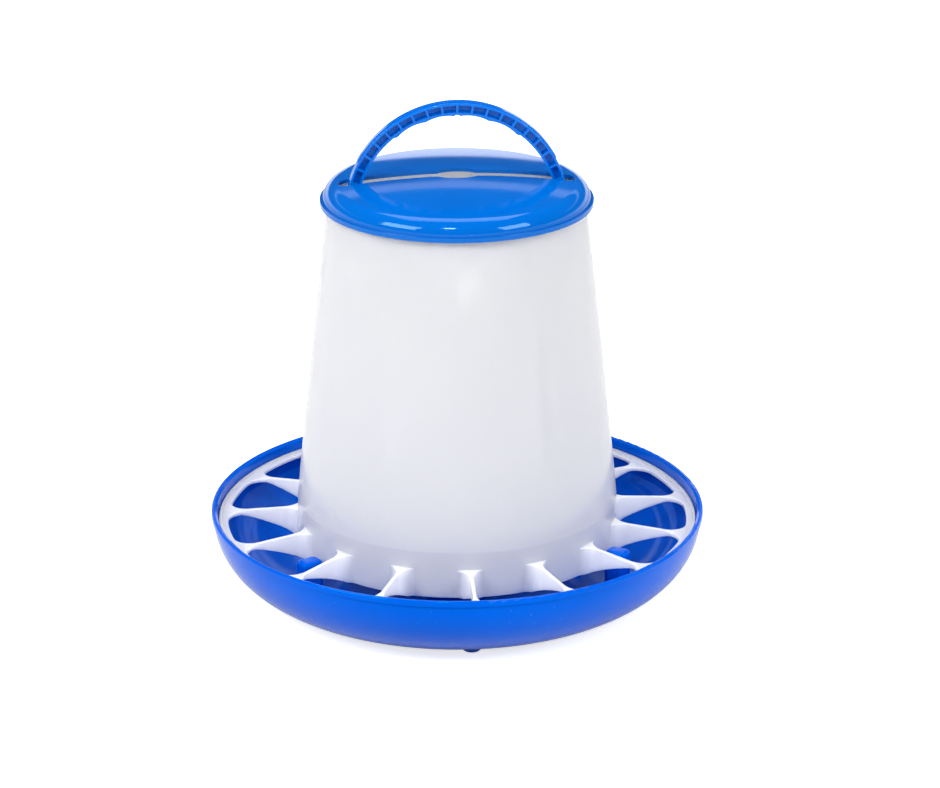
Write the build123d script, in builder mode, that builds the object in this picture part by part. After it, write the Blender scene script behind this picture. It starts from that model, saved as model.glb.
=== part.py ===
from build123d import *
import os
from math import asin, atan2, cos, degrees, radians, sin, sqrt, tan

# Hopper feeder for poultry, all sizes in millimetres.
# The origin is the middle of the feeder on the ground, +Z points up, the carrying handle
# spans X and one bar of the grill points along -Y.

# Pan
lip_height = 56.3            # top of the pan's lip above the ground
lip_radius = 170.0
lip_width = 4.0
lip_depth = 4.0              # height of the rolled lip
lip_groove = 1.3             # how far the wall stands back under the lip
lip_rounding = 1.5
lip_lean = 35.0              # degrees, the lip's top falls towards the inside
lip_edge_rounding = 0.6      # inner edge of the lip
throat_taper = 0.3           # the pan's throat is this much wider at the ring than at the lip
pan_wall = 2.4
pan_base_radius = 108.0      # where the curved wall runs out into the flat base
foot_height = 1.0            # how far the base is held off the ground
foot_count = 3
foot_outset = 13.0           # middle of the feet, outside the flat base
foot_top_diameter = 20.0
foot_tip_diameter = 11.0
cone_base_radius = 86.0      # the spreading cone under the hopper
cone_tip_radius = 14.0
cone_height = 42.0
post_count = 3
first_post = 2               # openings passed from the front bar to the first post
post_length = 16.5           # along the radius
post_width = 12.5
post_clearance = 2.5         # between the hopper's skirt and the posts outside it
post_drop = 14.0             # post top below the lip
post_rounding = 3.2
post_corner = 4.5
seat_width = 1.5             # how much of the ring rests on the pan's ledge
ring_clearance = 1.0         # around the ring inside the pan

# Hopper with its grill
rim_radius = 85.9
rim_height = 280.0
crease_rise = 8.3            # the crease between wall and skirt, above the lip
wall_bulge = 0.7             # the wall's slight outward bow
hopper_wall = 2.2
skirt_radius = 110.1
skirt_depth = 23.7           # lower edge of the skirt, below the lip
ring_drop = 8.0              # top of the outer ring, below the lip
ring_width = 6.1             # from the feeding openings to the ring's outer edge
ring_thickness = 2.5
ring_rim_width = 1.6
ring_rim_height = 1.0
ring_level_width = 4.7       # the ring's top is level this far in from its outer edge
bar_count = 15
bar_width = 2.4
bar_drop = 3.8               # top of the bars at the skirt, below the lip
bar_root_depth = 1.5         # how far the bars reach into the skirt's wall
bar_low_end = 14.7           # the bars' lower edge meets the ring this far in from its edge
bar_fullness = 0.4           # depth of the bars halfway out, as a share of the skirt's depth
opening_inset = 0.4          # the openings' inner ends reach this far into the skirt's wall
opening_outer_corner = 13.0
opening_inner_corner = 11.5
opening_edge = 0.6           # rounding of the openings' upper edge

# Lid
lid_wall = 2.4
lid_clearance = 1.7          # between the hopper's rim and the lid's wall
lid_flange_height = 3.0
lid_flange_step = 1.8        # how far the flange stands out from the lid's wall
lid_overlap = 6.3            # how far the lid reaches down over the hopper's rim
lid_crown_height = 20.0      # middle of the lid above its lower edge
lid_crown_radius = 540.0
lid_shoulder = 11.5
lid_seat_margin = 0.3        # the seat under the lid is this much wider than the rim
slot_end_clearance = 5.0     # between the handle and the ends of the lid's slot
slot_side_clearance = 2.25   # on each side of the handle
slot_hole_length = 27.0      # the wider place in the middle of the slot
slot_hole_bulge = 4.5

# Handle
handle_inset = 8.7           # between the hopper's wall at the rim and the handle's legs
handle_centre_drop = 12.2    # centre of the arch below the hopper's rim
handle_thickness = 8.0
handle_width = 9.5
flange_thickness = 1.6
web_thickness = 1.6
rib_thickness = 1.5
rib_pitch = 8.1              # degrees
rib_side_count = 10          # ribs on each side of the middle one
grip_pitch = 18.5            # degrees between the finger ridges
grip_side_count = 2
grip_depth = 1.1
grip_run_out = 4.0           # degrees from the last ridge to the plain arch
handle_rounding = 0.6        # along the arch's outer edges
band_height = 0.6            # raised band on the arch's outer face
band_width = 5.0
band_span = 62.0             # degrees to each side
hook_notch_radius = 2.1
hook_notch_shift = 0.7       # the notch's middle lies this far inside the ridge's tip

# Sockets that hold the handle inside the hopper's rim
socket_clearance = 0.3
socket_wall = 2.2
socket_depth = 10.0
socket_top_drop = 12.2       # socket mouth below the hopper's rim
gusset_root_depth = 0.2      # the gussets reach this far past the rim's outside radius
catch_height = 1.4
catch_length = 3.5
catch_width = 5.0
catch_rise = 3.0             # above the end of the leg

same_place = 0.01            # edges are picked to this accuracy
cut_margin = 1.0             # cuts run on this far past the material

# Places worked out from the sizes above
lip_inner_radius = lip_radius - lip_width
throat_radius = lip_inner_radius - throat_taper
ring_radius = throat_radius - ring_clearance
ring_top = lip_height - ring_drop
ring_bottom = ring_top - ring_thickness
opening_start = skirt_radius - opening_inset
opening_end = ring_radius - ring_width
crease_height = lip_height + crease_rise
bar_root_radius = skirt_radius - bar_root_depth
bar_root_top = lip_height - bar_drop
skirt_bottom = lip_height - skirt_depth
bar_pitch = 360 / bar_count
post_radius = skirt_radius + post_clearance + post_length / 2
post_step = bar_count // post_count
foot_radius = pan_base_radius + foot_outset
lid_bottom = rim_height - lid_overlap
lid_top = lid_bottom + lid_crown_height
handle_radius = rim_radius - hopper_wall - handle_inset
handle_centre = rim_height - handle_centre_drop
leg_outer = handle_radius
leg_inner = handle_radius - handle_thickness
leg_middle = (leg_outer + leg_inner) / 2
socket_mouth = rim_height - socket_top_drop
leg_end = socket_mouth - socket_depth


def polar_point(radius, angle):
    return (radius * cos(radians(angle)), radius * sin(radians(angle)))


def arch_point(radius, angle):
    # a point of the handle's plane, the angle counted from the top of the arch
    return (radius * sin(radians(angle)), handle_centre + radius * cos(radians(angle)))


# Pan: one moulded bowl whose wall turns over into a lip at the top, rises in a cone in the
# middle and carries a ledge for the hopper's ring, three posts and three feet.
curve_centre = (pan_base_radius, lip_height - lip_depth - lip_groove / 2)
curve_radius = lip_radius - lip_groove - pan_base_radius
curve_height = curve_centre[1] - foot_height
inner_curve_radius = curve_radius - pan_wall
inner_curve_height = curve_height - pan_wall
pan_floor = foot_height + pan_wall
ledge_radius = ring_radius - seat_width
ledge_share = (ledge_radius - pan_base_radius) / inner_curve_radius
ledge_angle = degrees(atan2(-sqrt(1 - ledge_share**2), ledge_share))
cone_lean = atan2(cone_height, cone_base_radius - cone_tip_radius)
cone_shift = pan_wall * (1 - cos(cone_lean)) / sin(cone_lean)

foot_share = (foot_radius - pan_base_radius) / curve_radius
foot_lean = atan2(curve_height * foot_share, curve_radius * sqrt(1 - foot_share**2))
foot_seat = curve_centre[1] - curve_height * sqrt(1 - foot_share**2) + pan_wall / 2

with BuildPart() as foot:
    with BuildSketch(Plane.XY):
        with Locations((foot_radius, 0)):
            Circle(foot_tip_diameter / 2)
    with BuildSketch(Plane((foot_radius, 0, foot_seat), z_dir=(-sin(foot_lean), 0, cos(foot_lean)))):
        Circle(foot_top_diameter / 2)
    loft(ruled=True)

with BuildSketch(Plane.XZ) as bowl_section:
    with BuildLine():
        outer_curve = EllipticalCenterArc(
            curve_centre, curve_radius, curve_height, start_angle=0, arc_size=-90)
        lip_crest = CenterArc(
            (lip_radius - lip_rounding, lip_height - lip_rounding), lip_rounding,
            start_angle=0, arc_size=90 + lip_lean)
        crest_end = lip_crest @ 1
        lip_edge_height = crest_end.Y - (crest_end.X - lip_inner_radius) * tan(radians(lip_lean))
        Polyline(outer_curve @ 0, (lip_radius, lip_height - lip_depth), lip_crest @ 0)
        Polyline(
            crest_end,
            (lip_inner_radius, lip_edge_height),
            (0, lip_edge_height),
            (0, foot_height + cone_height),
            (cone_tip_radius, foot_height + cone_height),
            (cone_base_radius, foot_height),
            outer_curve @ 1)
    make_face()

post_top = lip_height - post_drop
with BuildPart() as posts:
    with BuildSketch(Plane.XY.offset(post_top)):
        for place in range(post_count):
            passed = first_post + post_step * place + 0.5
            with PolarLocations(post_radius, 1, start_angle=-90 + bar_pitch * passed):
                RectangleRounded(post_length, post_width, post_corner)
    extrude(amount=-post_top)
    fillet(posts.edges().group_by(Axis.Z)[-1], post_rounding)
    # the posts end at the outside of the bowl
    add(bowl_section.sketch)
    revolve(axis=Axis.Z, mode=Mode.INTERSECT)

with BuildPart() as pan:
    add(bowl_section.sketch)
    revolve(axis=Axis.Z)
    with BuildSketch(Plane.XZ):
        with BuildLine():
            inner_curve = EllipticalCenterArc(
                curve_centre, inner_curve_radius, inner_curve_height,
                start_angle=ledge_angle, arc_size=-90 - ledge_angle)
            Polyline(
                inner_curve @ 1,
                (cone_base_radius + cone_shift, pan_floor),
                (cone_tip_radius + cone_shift, pan_floor + cone_height),
                (0, pan_floor + cone_height),
                (0, lip_edge_height),
                (lip_inner_radius, lip_edge_height),
                (throat_radius, ring_top),
                (throat_radius, ring_bottom),
                (ledge_radius, ring_bottom),
                inner_curve @ 0)
        make_face()
    revolve(axis=Axis.Z, mode=Mode.SUBTRACT)
    fillet(
        pan.edges().filter_by(GeomType.CIRCLE).filter_by(
            lambda edge: abs(edge.center().Z - lip_edge_height) < same_place),
        lip_edge_rounding)
    with PolarLocations(0, foot_count, start_angle=-90):
        add(foot.part)
    add(posts.part)

pan.part.label = "pan"

# Grill: the outer ring and the bars that keep the birds from scratching out the feed, moulded
# in one with the hopper.
bar_foot = (skirt_radius + hopper_wall, skirt_bottom)
bar_curve_end = (ring_radius - bar_low_end, ring_bottom)
bar_curve_middle = (
    (bar_foot[0] + bar_curve_end[0]) / 2,
    ring_bottom - (ring_bottom - skirt_bottom) * bar_fullness)


def opening_corner(radius, side):
    half_angle = bar_pitch / 2 - degrees(asin(bar_width / 2 / radius))
    return polar_point(radius, side * half_angle)


with BuildSketch() as opening:
    with BuildLine():
        inner_arc = ThreePointArc(
            opening_corner(opening_start, -1), (opening_start, 0),
            opening_corner(opening_start, 1))
        outer_arc = ThreePointArc(
            opening_corner(opening_end, 1), (opening_end, 0),
            opening_corner(opening_end, -1))
        Line(inner_arc @ 1, outer_arc @ 0)
        Line(outer_arc @ 1, inner_arc @ 0)
    make_face()
    fillet(opening.vertices().group_by(Axis.X)[-1], opening_outer_corner)
    fillet(opening.vertices().group_by(Axis.X)[0], opening_inner_corner)

with BuildPart() as grill:
    with BuildSketch(Plane.XZ):
        with BuildLine():
            ThreePointArc(bar_foot, bar_curve_middle, bar_curve_end)
            Polyline(
                bar_curve_end,
                (ring_radius, ring_bottom),
                (ring_radius, ring_top + ring_rim_height),
                (ring_radius - ring_rim_width, ring_top + ring_rim_height),
                (ring_radius - ring_rim_width - ring_rim_height / 3, ring_top),
                (ring_radius - ring_level_width, ring_top),
                (bar_root_radius, bar_root_top),
                (bar_root_radius, skirt_bottom),
                bar_foot)
        make_face()
    revolve(axis=Axis.Z)
    with BuildSketch(Plane.XY.offset(skirt_bottom - cut_margin)):
        with PolarLocations(0, bar_count, start_angle=-90 + bar_pitch / 2):
            add(opening.sketch)
    extrude(amount=bar_root_top - skirt_bottom + 2 * cut_margin, mode=Mode.SUBTRACT)
    fillet(
        grill.edges().filter_by(
            lambda edge: opening_start - same_place
            < sqrt(edge.center().X**2 + edge.center().Y**2)
            < opening_end + same_place
            and edge.center().Z > ring_top - same_place),
        opening_edge)

# Hopper: one translucent moulding with the tapered wall, the upright skirt at its foot, the
# grill around it and two sockets for the handle under its rim.
crease_point = (skirt_radius, crease_height)
rim_point = (rim_radius, rim_height)
wall_middle = ((skirt_radius + rim_radius) / 2 + wall_bulge, (crease_height + rim_height) / 2)
inner_rim = (rim_radius - hopper_wall, rim_height)
inner_middle = (wall_middle[0] - hopper_wall, wall_middle[1])
inner_crease = (skirt_radius - hopper_wall, crease_height)

with BuildPart() as hopper:
    with BuildSketch(Plane.XZ):
        with BuildLine():
            ThreePointArc(crease_point, wall_middle, rim_point)
            Line(rim_point, inner_rim)
            ThreePointArc(inner_rim, inner_middle, inner_crease)
            Polyline(
                inner_crease,
                (skirt_radius - hopper_wall, skirt_bottom),
                (skirt_radius, skirt_bottom),
                crease_point)
        make_face()
    revolve(axis=Axis.Z)
    add(grill.part)
    # the sockets for the handle's legs, each tied to the wall by two gussets
    socket_half = handle_width / 2 + socket_clearance + socket_wall
    socket_low = leg_end - socket_wall
    socket_start = leg_inner - socket_clearance - socket_wall
    socket_end = leg_outer + socket_clearance + socket_wall
    socket_middle_height = (socket_low + socket_mouth) / 2
    gusset_start = socket_end - socket_wall / 2
    gusset_end = rim_radius + gusset_root_depth
    for side in (1, -1):
        with Locations((side * (socket_start + socket_end) / 2, 0, socket_middle_height)):
            Box(socket_end - socket_start, 2 * socket_half, socket_mouth - socket_low)
        with Locations((side * (gusset_start + gusset_end) / 2, 0, socket_middle_height)):
            with GridLocations(0, 2 * socket_half - socket_wall, 1, 2):
                Box(gusset_end - gusset_start, socket_wall, socket_mouth - socket_low)
        with Locations((side * leg_middle, 0, leg_end + socket_depth / 2)):
            Box(
                handle_thickness + 2 * socket_clearance, handle_width + 2 * socket_clearance,
                socket_depth, mode=Mode.SUBTRACT)
        window_height = leg_end + catch_rise + catch_length / 2
        with Locations((side * (socket_end - socket_wall / 2), 0, window_height)):
            Box(
                2 * socket_wall, catch_width + 2 * socket_clearance,
                catch_length + 2 * socket_clearance, mode=Mode.SUBTRACT)

hopper.part.label = "hopper"

# Lid: a shallow dome with a flange, slotted so that it lifts off over the handle. A ring
# inside its shoulder rests on the hopper's rim.
lid_inner = rim_radius + lid_clearance
lid_outer = lid_inner + lid_wall
lid_radius = lid_outer + lid_flange_step
crown_centre = lid_top - lid_crown_radius
inner_crown_radius = lid_crown_radius - lid_wall
shoulder_height = crown_centre + sqrt(lid_crown_radius**2 - lid_outer**2)
inner_shoulder_height = crown_centre + sqrt(inner_crown_radius**2 - lid_inner**2)
slot_length = 2 * (handle_radius + slot_end_clearance)
slot_width = handle_width + 2 * slot_side_clearance

with BuildSketch() as lid_inside:
    with BuildLine():
        ThreePointArc(
            (-lid_inner, inner_shoulder_height), (0, lid_top - lid_wall),
            (lid_inner, inner_shoulder_height))
        Polyline(
            (lid_inner, inner_shoulder_height), (lid_inner, lid_bottom),
            (-lid_inner, lid_bottom), (-lid_inner, inner_shoulder_height))
    make_face()
    fillet(lid_inside.vertices().group_by(Axis.Y)[-1], lid_shoulder - lid_wall)
    with Locations((rim_radius - hopper_wall / 2, rim_height + lid_crown_height / 2)):
        Rectangle(hopper_wall + 2 * lid_seat_margin, lid_crown_height, mode=Mode.SUBTRACT)

with BuildPart() as lid:
    with BuildSketch(Plane.XZ) as lid_section:
        with BuildLine():
            ThreePointArc(
                (-lid_outer, shoulder_height), (0, lid_top), (lid_outer, shoulder_height))
            Polyline(
                (lid_outer, shoulder_height), (lid_outer, lid_bottom),
                (-lid_outer, lid_bottom), (-lid_outer, shoulder_height))
        make_face()
        fillet(lid_section.vertices().group_by(Axis.Y)[-1], lid_shoulder)
        with Locations((0, lid_bottom + lid_flange_height / 2)):
            Rectangle(2 * lid_radius, lid_flange_height)
        add(lid_inside.sketch, mode=Mode.SUBTRACT)
        with Locations((-lid_radius, lid_bottom + lid_crown_height / 2)):
            Rectangle(2 * lid_radius, 2 * lid_crown_height, mode=Mode.SUBTRACT)
    revolve(axis=Axis.Z)
    with BuildSketch(Plane.XY.offset(lid_bottom)):
        SlotOverall(slot_length, slot_width)
        with BuildLine():
            hole_end = slot_hole_length / 2
            hole_side = slot_width / 2
            front_arc = ThreePointArc(
                (-hole_end, -hole_side), (0, -hole_side - slot_hole_bulge),
                (hole_end, -hole_side))
            back_arc = ThreePointArc(
                (hole_end, hole_side), (0, hole_side + slot_hole_bulge), (-hole_end, hole_side))
            Line(front_arc @ 1, back_arc @ 0)
            Line(back_arc @ 1, front_arc @ 0)
        make_face()
    extrude(amount=2 * lid_crown_height, mode=Mode.SUBTRACT)

lid.part.label = "lid"

# Handle: an arch of I-section with ribs across both channels, finger ridges on its inner
# face and a notch for a hanging hook. Its legs end in catches inside the sockets.
channel_outer = handle_radius - flange_thickness
channel_inner = leg_inner + flange_thickness
ridge_radius = leg_inner - grip_depth
grip_chord = ridge_radius * sin(radians(grip_pitch / 2))
grip_sagitta = leg_inner - ridge_radius * cos(radians(grip_pitch / 2))
grip_scoop = (grip_chord**2 + grip_sagitta**2) / (2 * grip_sagitta)
grip_end = grip_side_count * grip_pitch
rib_end = rib_side_count * rib_pitch
band_radius = handle_radius + band_height
band_root = handle_radius - flange_thickness / 2

with BuildSketch() as channels:
    with Locations((0, handle_centre)):
        Circle(channel_outer)
        Circle(channel_inner, mode=Mode.SUBTRACT)
    with Locations((0, handle_centre - handle_radius)):
        Rectangle(2 * handle_radius, 2 * handle_radius, mode=Mode.SUBTRACT)
    with Locations((0, handle_centre)):
        with PolarLocations(
                leg_middle, 2 * rib_side_count + 1, start_angle=90 - rib_end,
                angular_range=2 * rib_end, endpoint=True):
            Rectangle(handle_thickness, rib_thickness, mode=Mode.SUBTRACT)

with BuildPart() as handle:
    with BuildSketch(Plane.XZ):
        with Locations((0, handle_centre)):
            Circle(handle_radius)
            Circle(leg_inner, mode=Mode.SUBTRACT)
        with Locations((0, handle_centre - handle_radius)):
            Rectangle(2 * (handle_radius + cut_margin), 2 * handle_radius, mode=Mode.SUBTRACT)
        with Locations((leg_middle, (handle_centre + leg_end) / 2),
                       (-leg_middle, (handle_centre + leg_end) / 2)):
            Rectangle(handle_thickness, handle_centre - leg_end)
    extrude(amount=handle_width / 2, both=True)
    fillet(
        handle.edges().filter_by(GeomType.CIRCLE).filter_by(
            lambda edge: edge.radius > leg_middle),
        handle_rounding)
    with BuildSketch(Plane.XZ):
        for step in range(-grip_side_count, grip_side_count):
            with BuildLine():
                Polyline(
                    arch_point(ridge_radius, step * grip_pitch),
                    arch_point(ridge_radius, (step + 1) * grip_pitch),
                    arch_point(leg_inner + grip_depth, (step + 1) * grip_pitch),
                    arch_point(leg_inner + grip_depth, step * grip_pitch),
                    close=True)
            make_face()
        for end in (-1, 1):
            with BuildLine():
                Polyline(
                    arch_point(ridge_radius, end * grip_end),
                    arch_point(leg_inner + grip_depth, end * (grip_end + grip_run_out)),
                    arch_point(leg_inner + grip_depth, end * grip_end),
                    close=True)
            make_face()
        for step in range(-grip_side_count, grip_side_count):
            with Locations(arch_point(leg_inner - grip_scoop, (step + 0.5) * grip_pitch)):
                Circle(grip_scoop, mode=Mode.SUBTRACT)
        with Locations(arch_point(ridge_radius - hook_notch_shift, 0)):
            Circle(hook_notch_radius, mode=Mode.SUBTRACT)
    extrude(amount=handle_width / 2, both=True)
    with BuildSketch(Plane.XZ):
        add(channels.sketch)
    extrude(amount=handle_width, both=True, mode=Mode.SUBTRACT)
    with BuildSketch(Plane.XZ):
        with Locations((0, handle_centre)):
            Circle(channel_outer + flange_thickness / 2)
            Circle(channel_inner - flange_thickness / 2, mode=Mode.SUBTRACT)
        with Locations((0, handle_centre - handle_radius)):
            Rectangle(2 * handle_radius, 2 * handle_radius, mode=Mode.SUBTRACT)
    extrude(amount=web_thickness / 2, both=True)
    with BuildSketch(Plane.XZ):
        with BuildLine():
            band_top = ThreePointArc(
                arch_point(band_radius, -band_span), arch_point(band_radius, 0),
                arch_point(band_radius, band_span))
            band_foot = ThreePointArc(
                arch_point(band_root, band_span), arch_point(band_root, 0),
                arch_point(band_root, -band_span))
            Line(band_top @ 1, band_foot @ 0)
            Line(band_foot @ 1, band_top @ 0)
        make_face()
    extrude(amount=band_width / 2, both=True)
    catch_low = leg_end + catch_rise
    catch_high = catch_low + catch_length
    with BuildSketch(Plane.XZ):
        for side in (1, -1):
            with BuildLine():
                Polyline(
                    (side * leg_middle, catch_low),
                    (side * leg_outer, catch_low),
                    (side * (leg_outer + catch_height), catch_high - catch_height),
                    (side * (leg_outer + catch_height), catch_high),
                    (side * leg_middle, catch_high),
                    close=True)
            make_face()
    extrude(amount=catch_width / 2, both=True)

handle.part.label = "handle"

os.makedirs("parts", exist_ok=True)
export_step(pan.part, "parts/pan.step")
export_step(hopper.part, "parts/hopper.step")
export_step(lid.part, "parts/lid.step")
export_step(handle.part, "parts/handle.step")
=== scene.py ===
from math import radians

import bpy
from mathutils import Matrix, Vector

# Hopper feeder for poultry. The shapes come from the frame, this script gives them their
# moulded plastics and sets up the studio.

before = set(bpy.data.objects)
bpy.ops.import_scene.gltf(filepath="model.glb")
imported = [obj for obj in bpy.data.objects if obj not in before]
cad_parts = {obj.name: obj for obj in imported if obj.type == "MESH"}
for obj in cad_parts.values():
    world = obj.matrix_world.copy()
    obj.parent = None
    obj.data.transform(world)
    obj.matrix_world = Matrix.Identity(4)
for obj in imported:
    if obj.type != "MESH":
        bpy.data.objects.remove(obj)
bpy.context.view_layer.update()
bpy.ops.object.select_all(action="DESELECT")
print("frame loaded:", sorted(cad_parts))

lidPlastic = {
    "deepBlue": (0.0, 0.102, 0.44, 1),
    "lightBlue": (0.0, 0.114, 0.48, 1),
    "cloudSize": 9.0,          # per metre
    "roughness": (0.05, 0.09),
    "smearSize": 34.0,
    "peelSize": 260.0,
    "peelHeight": 0.000012,    # metres
    "speckSize": 900.0,
    "speckAmount": 0.79,       # share of the noise under which nothing shows
    "speckColour": (0.35, 0.5, 0.9, 1),
    "specular": 0.42,
    "shineTint": (0.45, 0.75, 1.0, 1),   # of the gloss seen straight on
    "scatter": 0.05,
    "scatterRadius": (0.002, 0.003, 0.006),
}

panPlastic = {
    "deepBlue": (0.0, 0.078, 0.53, 1),
    "lightBlue": (0.0, 0.092, 0.60, 1),
    "cloudSize": 9.0,
    "roughness": (0.06, 0.11),
    "smearSize": 34.0,
    "peelSize": 260.0,
    "peelHeight": 0.000015,
    "speckSize": 900.0,
    "speckAmount": 0.77,
    "speckColour": (0.35, 0.5, 0.9, 1),
    "specular": 0.38,
    "shineTint": (0.0, 0.50, 1.0, 1),
    "scatter": 0.05,
    "scatterRadius": (0.002, 0.003, 0.006),
}

handlePlastic = dict(lidPlastic)
handlePlastic["deepBlue"] = (0.0, 0.122, 0.54, 1)
handlePlastic["lightBlue"] = (0.0, 0.136, 0.60, 1)

milkyPlastic = {
    "paleWhite": (0.965, 0.962, 0.970, 1),
    "coolWhite": (0.93, 0.94, 0.965, 1),
    "cloudSize": 7.0,
    "roughness": (0.14, 0.22),
    "streakSize": (60.0, 60.0, 1.6),
    "peelSize": 300.0,
    "peelHeight": 0.00001,
    "specular": 0.5,
    "scatter": 0.85,
    "scatterReach": 0.024,
}

studio = {
    "floorSize": 9.0,
    "floorColour": (0.68, 0.68, 0.68, 1),
    "floorGlow": 0.70,
    "floorShine": 0.08,        # the floor's glow as gloss sees it
    "ambientLight": 0.70,      # the world as the surfaces' diffuse light sees it
    "darkShine": 0.04,         # the world as gloss sees it, away from the bright bands
    "horizonShine": 1.4,
    "horizonEnd": (0.10, 0.125),   # heights on the unit sphere between which it fades
    "bandShine": 0.65,
    "bandStart": (0.34, 0.36),
    "bandEnd": (0.395, 0.405),
    "bandBehind": (0.0, 0.4),
    "target": (0, 0, 0.15),
    "lamps": {
        "keyLamp": {"place": (-1.85, -1.2, 1.7), "size": (1.4, 0.9), "power": 45},
        "fillLamp": {"place": (1.7, -1.5, 1.5), "size": (1.1, 0.9), "power": 31},
        "middleLamp": {"place": (-0.4, -1.9, 2.3), "size": (0.4, 0.3), "power": 16},
        "topLamp": {"place": (0, 0.7, 2.4), "size": (1.8, 1.2), "power": 24},
    },
}

cameraView = {
    "place": (-0.16476, -2.09353, 0.918916),
    "turn": (69.5533, 0, -4.7408),
    "lens": 125.385,
    "sensor": 36,
}


def newMaterial(name):
    material = bpy.data.materials.new(name)
    material.use_nodes = True
    tree = material.node_tree
    return material, tree.nodes, tree.links, tree.nodes["Principled BSDF"]


def addNoise(nodes, links, coordinates, scale, detail=3.0, stretch=None):
    noise = nodes.new("ShaderNodeTexNoise")
    noise.inputs["Scale"].default_value = scale
    noise.inputs["Detail"].default_value = detail
    if stretch:
        mapping = nodes.new("ShaderNodeMapping")
        mapping.inputs["Scale"].default_value = stretch
        links.new(coordinates, mapping.inputs["Vector"])
        links.new(mapping.outputs["Vector"], noise.inputs["Vector"])
    else:
        links.new(coordinates, noise.inputs["Vector"])
    return noise.outputs["Fac"]


def addRange(nodes, links, value, fromLow, fromHigh, toLow, toHigh):
    ranger = nodes.new("ShaderNodeMapRange")
    limits = {"From Min": fromLow, "From Max": fromHigh, "To Min": toLow, "To Max": toHigh}
    for name, number in limits.items():
        ranger.inputs[name].default_value = number
    links.new(value, ranger.inputs["Value"])
    return ranger.outputs["Result"]


def addMix(nodes, links, share, first, second):
    mix = nodes.new("ShaderNodeMix")
    mix.data_type = "RGBA"
    links.new(share, mix.inputs["Factor"])
    for socket, value in ((mix.inputs["A"], first), (mix.inputs["B"], second)):
        if isinstance(value, tuple):
            socket.default_value = value
        else:
            links.new(value, socket)
    return mix.outputs["Result"]


def addBump(nodes, links, height, distance):
    bump = nodes.new("ShaderNodeBump")
    bump.inputs["Distance"].default_value = distance
    links.new(height, bump.inputs["Height"])
    return bump.outputs["Normal"]


def addMath(nodes, links, operation, first, second):
    result = nodes.new("ShaderNodeMath")
    result.operation = operation
    for socket, value in zip(result.inputs, (first, second)):
        if isinstance(value, (int, float)):
            socket.default_value = value
        else:
            links.new(value, socket)
    return result.outputs[0]


def makeBluePlastic(name, settings):
    material, nodes, links, shader = newMaterial(name)
    place = nodes.new("ShaderNodeTexCoord").outputs["Object"]
    clouds = addNoise(nodes, links, place, settings["cloudSize"])
    cloudShare = addRange(nodes, links, clouds, 0.35, 0.65, 0, 1)
    colour = addMix(nodes, links, cloudShare, settings["deepBlue"], settings["lightBlue"])
    specks = addNoise(nodes, links, place, settings["speckSize"], 1.0)
    speckShare = addRange(
        nodes, links, specks, settings["speckAmount"], settings["speckAmount"] + 0.04, 0, 0.5)
    colour = addMix(nodes, links, speckShare, colour, settings["speckColour"])
    links.new(colour, shader.inputs["Base Color"])
    smears = addNoise(nodes, links, place, settings["smearSize"], 4.0)
    dullness = addRange(nodes, links, smears, 0.3, 0.7, *settings["roughness"])
    links.new(dullness, shader.inputs["Roughness"])
    peel = addNoise(nodes, links, place, settings["peelSize"], 2.0)
    links.new(addBump(nodes, links, peel, settings["peelHeight"]), shader.inputs["Normal"])
    shader.inputs["Specular IOR Level"].default_value = settings["specular"]
    shader.inputs["Specular Tint"].default_value = settings["shineTint"]
    shader.inputs["Subsurface Weight"].default_value = settings["scatter"]
    shader.inputs["Subsurface Radius"].default_value = settings["scatterRadius"]
    return material


def makeMilkyPlastic(name, settings):
    material, nodes, links, shader = newMaterial(name)
    place = nodes.new("ShaderNodeTexCoord").outputs["Object"]
    clouds = addNoise(nodes, links, place, settings["cloudSize"])
    cloudShare = addRange(nodes, links, clouds, 0.3, 0.7, 0, 1)
    links.new(
        addMix(nodes, links, cloudShare, settings["paleWhite"], settings["coolWhite"]),
        shader.inputs["Base Color"])
    streaks = addNoise(nodes, links, place, 1.0, 4.0, settings["streakSize"])
    dullness = addRange(nodes, links, streaks, 0.3, 0.7, *settings["roughness"])
    links.new(dullness, shader.inputs["Roughness"])
    peel = addNoise(nodes, links, place, settings["peelSize"], 2.0)
    peelNormal = addBump(nodes, links, peel, settings["peelHeight"])
    links.new(peelNormal, shader.inputs["Normal"])
    shader.inputs["Specular IOR Level"].default_value = settings["specular"]
    shader.inputs["Subsurface Weight"].default_value = settings["scatter"]
    shader.inputs["Subsurface Radius"].default_value = (1, 1, 1)
    shader.inputs["Subsurface Scale"].default_value = settings["scatterReach"]
    return material


def coverNode(name, material):
    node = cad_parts[name]
    for slot in node.material_slots:
        slot.material = material


coverNode("pan", makeBluePlastic("panBlue", panPlastic))
coverNode("lid", makeBluePlastic("lidBlue", lidPlastic))
coverNode("handle", makeBluePlastic("handleBlue", handlePlastic))
coverNode("hopper", makeMilkyPlastic("hopperMilk", milkyPlastic))
print("plastics on the four mouldings")


def makeFloor(settings):
    bpy.ops.mesh.primitive_plane_add(size=settings["floorSize"])
    floor = bpy.context.object
    floor.name = "studioFloor"
    material, nodes, links, shader = newMaterial("studioFloorPale")
    shader.inputs["Base Color"].default_value = settings["floorColour"]
    shader.inputs["Roughness"].default_value = 0.9
    shader.inputs["Specular IOR Level"].default_value = 0.1
    lightPath = nodes.new("ShaderNodeLightPath").outputs
    glossy = addMath(nodes, links, "MULTIPLY", lightPath["Is Glossy Ray"], settings["floorShine"])
    direct = addMath(
        nodes, links, "ADD", lightPath["Is Camera Ray"], lightPath["Is Transmission Ray"])
    direct = addMath(nodes, links, "MULTIPLY", direct, settings["floorGlow"])
    shader.inputs["Emission Color"].default_value = (1, 1, 1, 1)
    links.new(
        addMath(nodes, links, "ADD", direct, glossy), shader.inputs["Emission Strength"])
    floor.data.materials.append(material)


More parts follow.
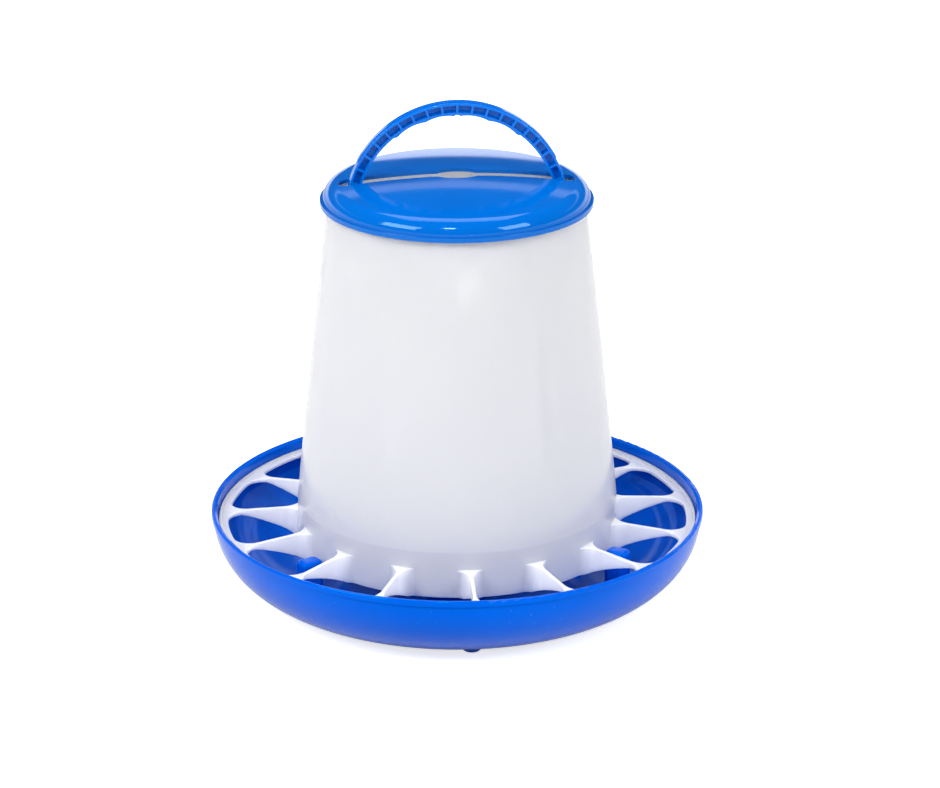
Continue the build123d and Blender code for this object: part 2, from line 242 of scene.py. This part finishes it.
def makeWorld(settings):
    world = bpy.data.worlds.new("studioWorld")
    bpy.context.scene.world = world
    world.use_nodes = True
    nodes = world.node_tree.nodes
    links = world.node_tree.links
    background = nodes["Background"]
    background.inputs["Color"].default_value = (1, 1, 1, 1)
    lightPath = nodes.new("ShaderNodeLightPath")
    soft = addRange(
        nodes, links, lightPath.outputs["Is Diffuse Ray"], 0, 1, 1.0, settings["ambientLight"])
    # gloss sees a bright horizon and a bright band high behind the feeder
    direction = nodes.new("ShaderNodeSeparateXYZ")
    links.new(nodes.new("ShaderNodeTexCoord").outputs["Generated"], direction.inputs["Vector"])
    behind = addRange(nodes, links, direction.outputs["Y"], *settings["bandBehind"], 0, 1)
    height = direction.outputs["Z"]
    bandLow = addRange(nodes, links, height, *settings["bandStart"], 0, settings["bandShine"])
    bandHigh = addRange(nodes, links, height, *settings["bandEnd"], 1, 0)
    band = addMath(nodes, links, "MULTIPLY", bandLow, bandHigh)
    band = addMath(nodes, links, "MULTIPLY", band, behind)
    horizon = addRange(
        nodes, links, height, *settings["horizonEnd"],
        settings["horizonShine"], settings["darkShine"])
    shine = addMath(nodes, links, "ADD", horizon, band)
    strength = nodes.new("ShaderNodeMix")
    strength.data_type = "FLOAT"
    links.new(lightPath.outputs["Is Glossy Ray"], strength.inputs[0])
    links.new(soft, strength.inputs[2])
    links.new(shine, strength.inputs[3])
    links.new(strength.outputs[0], background.inputs["Strength"])


def addLamp(name, settings, target):
    bpy.ops.object.light_add(type="AREA", location=settings["place"])
    lamp = bpy.context.object
    lamp.name = name
    lamp.data.shape = "RECTANGLE"
    lamp.data.size, lamp.data.size_y = settings["size"]
    lamp.data.energy = settings["power"]
    aim = Vector(target) - Vector(settings["place"])
    lamp.rotation_euler = aim.to_track_quat("-Z", "Y").to_euler()


makeFloor(studio)
makeWorld(studio)
for lampName, lampSettings in studio["lamps"].items():
    addLamp(lampName, lampSettings, studio["target"])
print("floor, world and lamps stand")

bpy.ops.object.camera_add(
    location=cameraView["place"], rotation=[radians(angle) for angle in cameraView["turn"]])
photoCamera = bpy.context.object
photoCamera.name = "photoCamera"
photoCamera.data.lens = cameraView["lens"]
photoCamera.data.sensor_width = cameraView["sensor"]
bpy.context.scene.camera = photoCamera
bpy.context.scene.view_settings.view_transform = "Standard"
print("camera set")
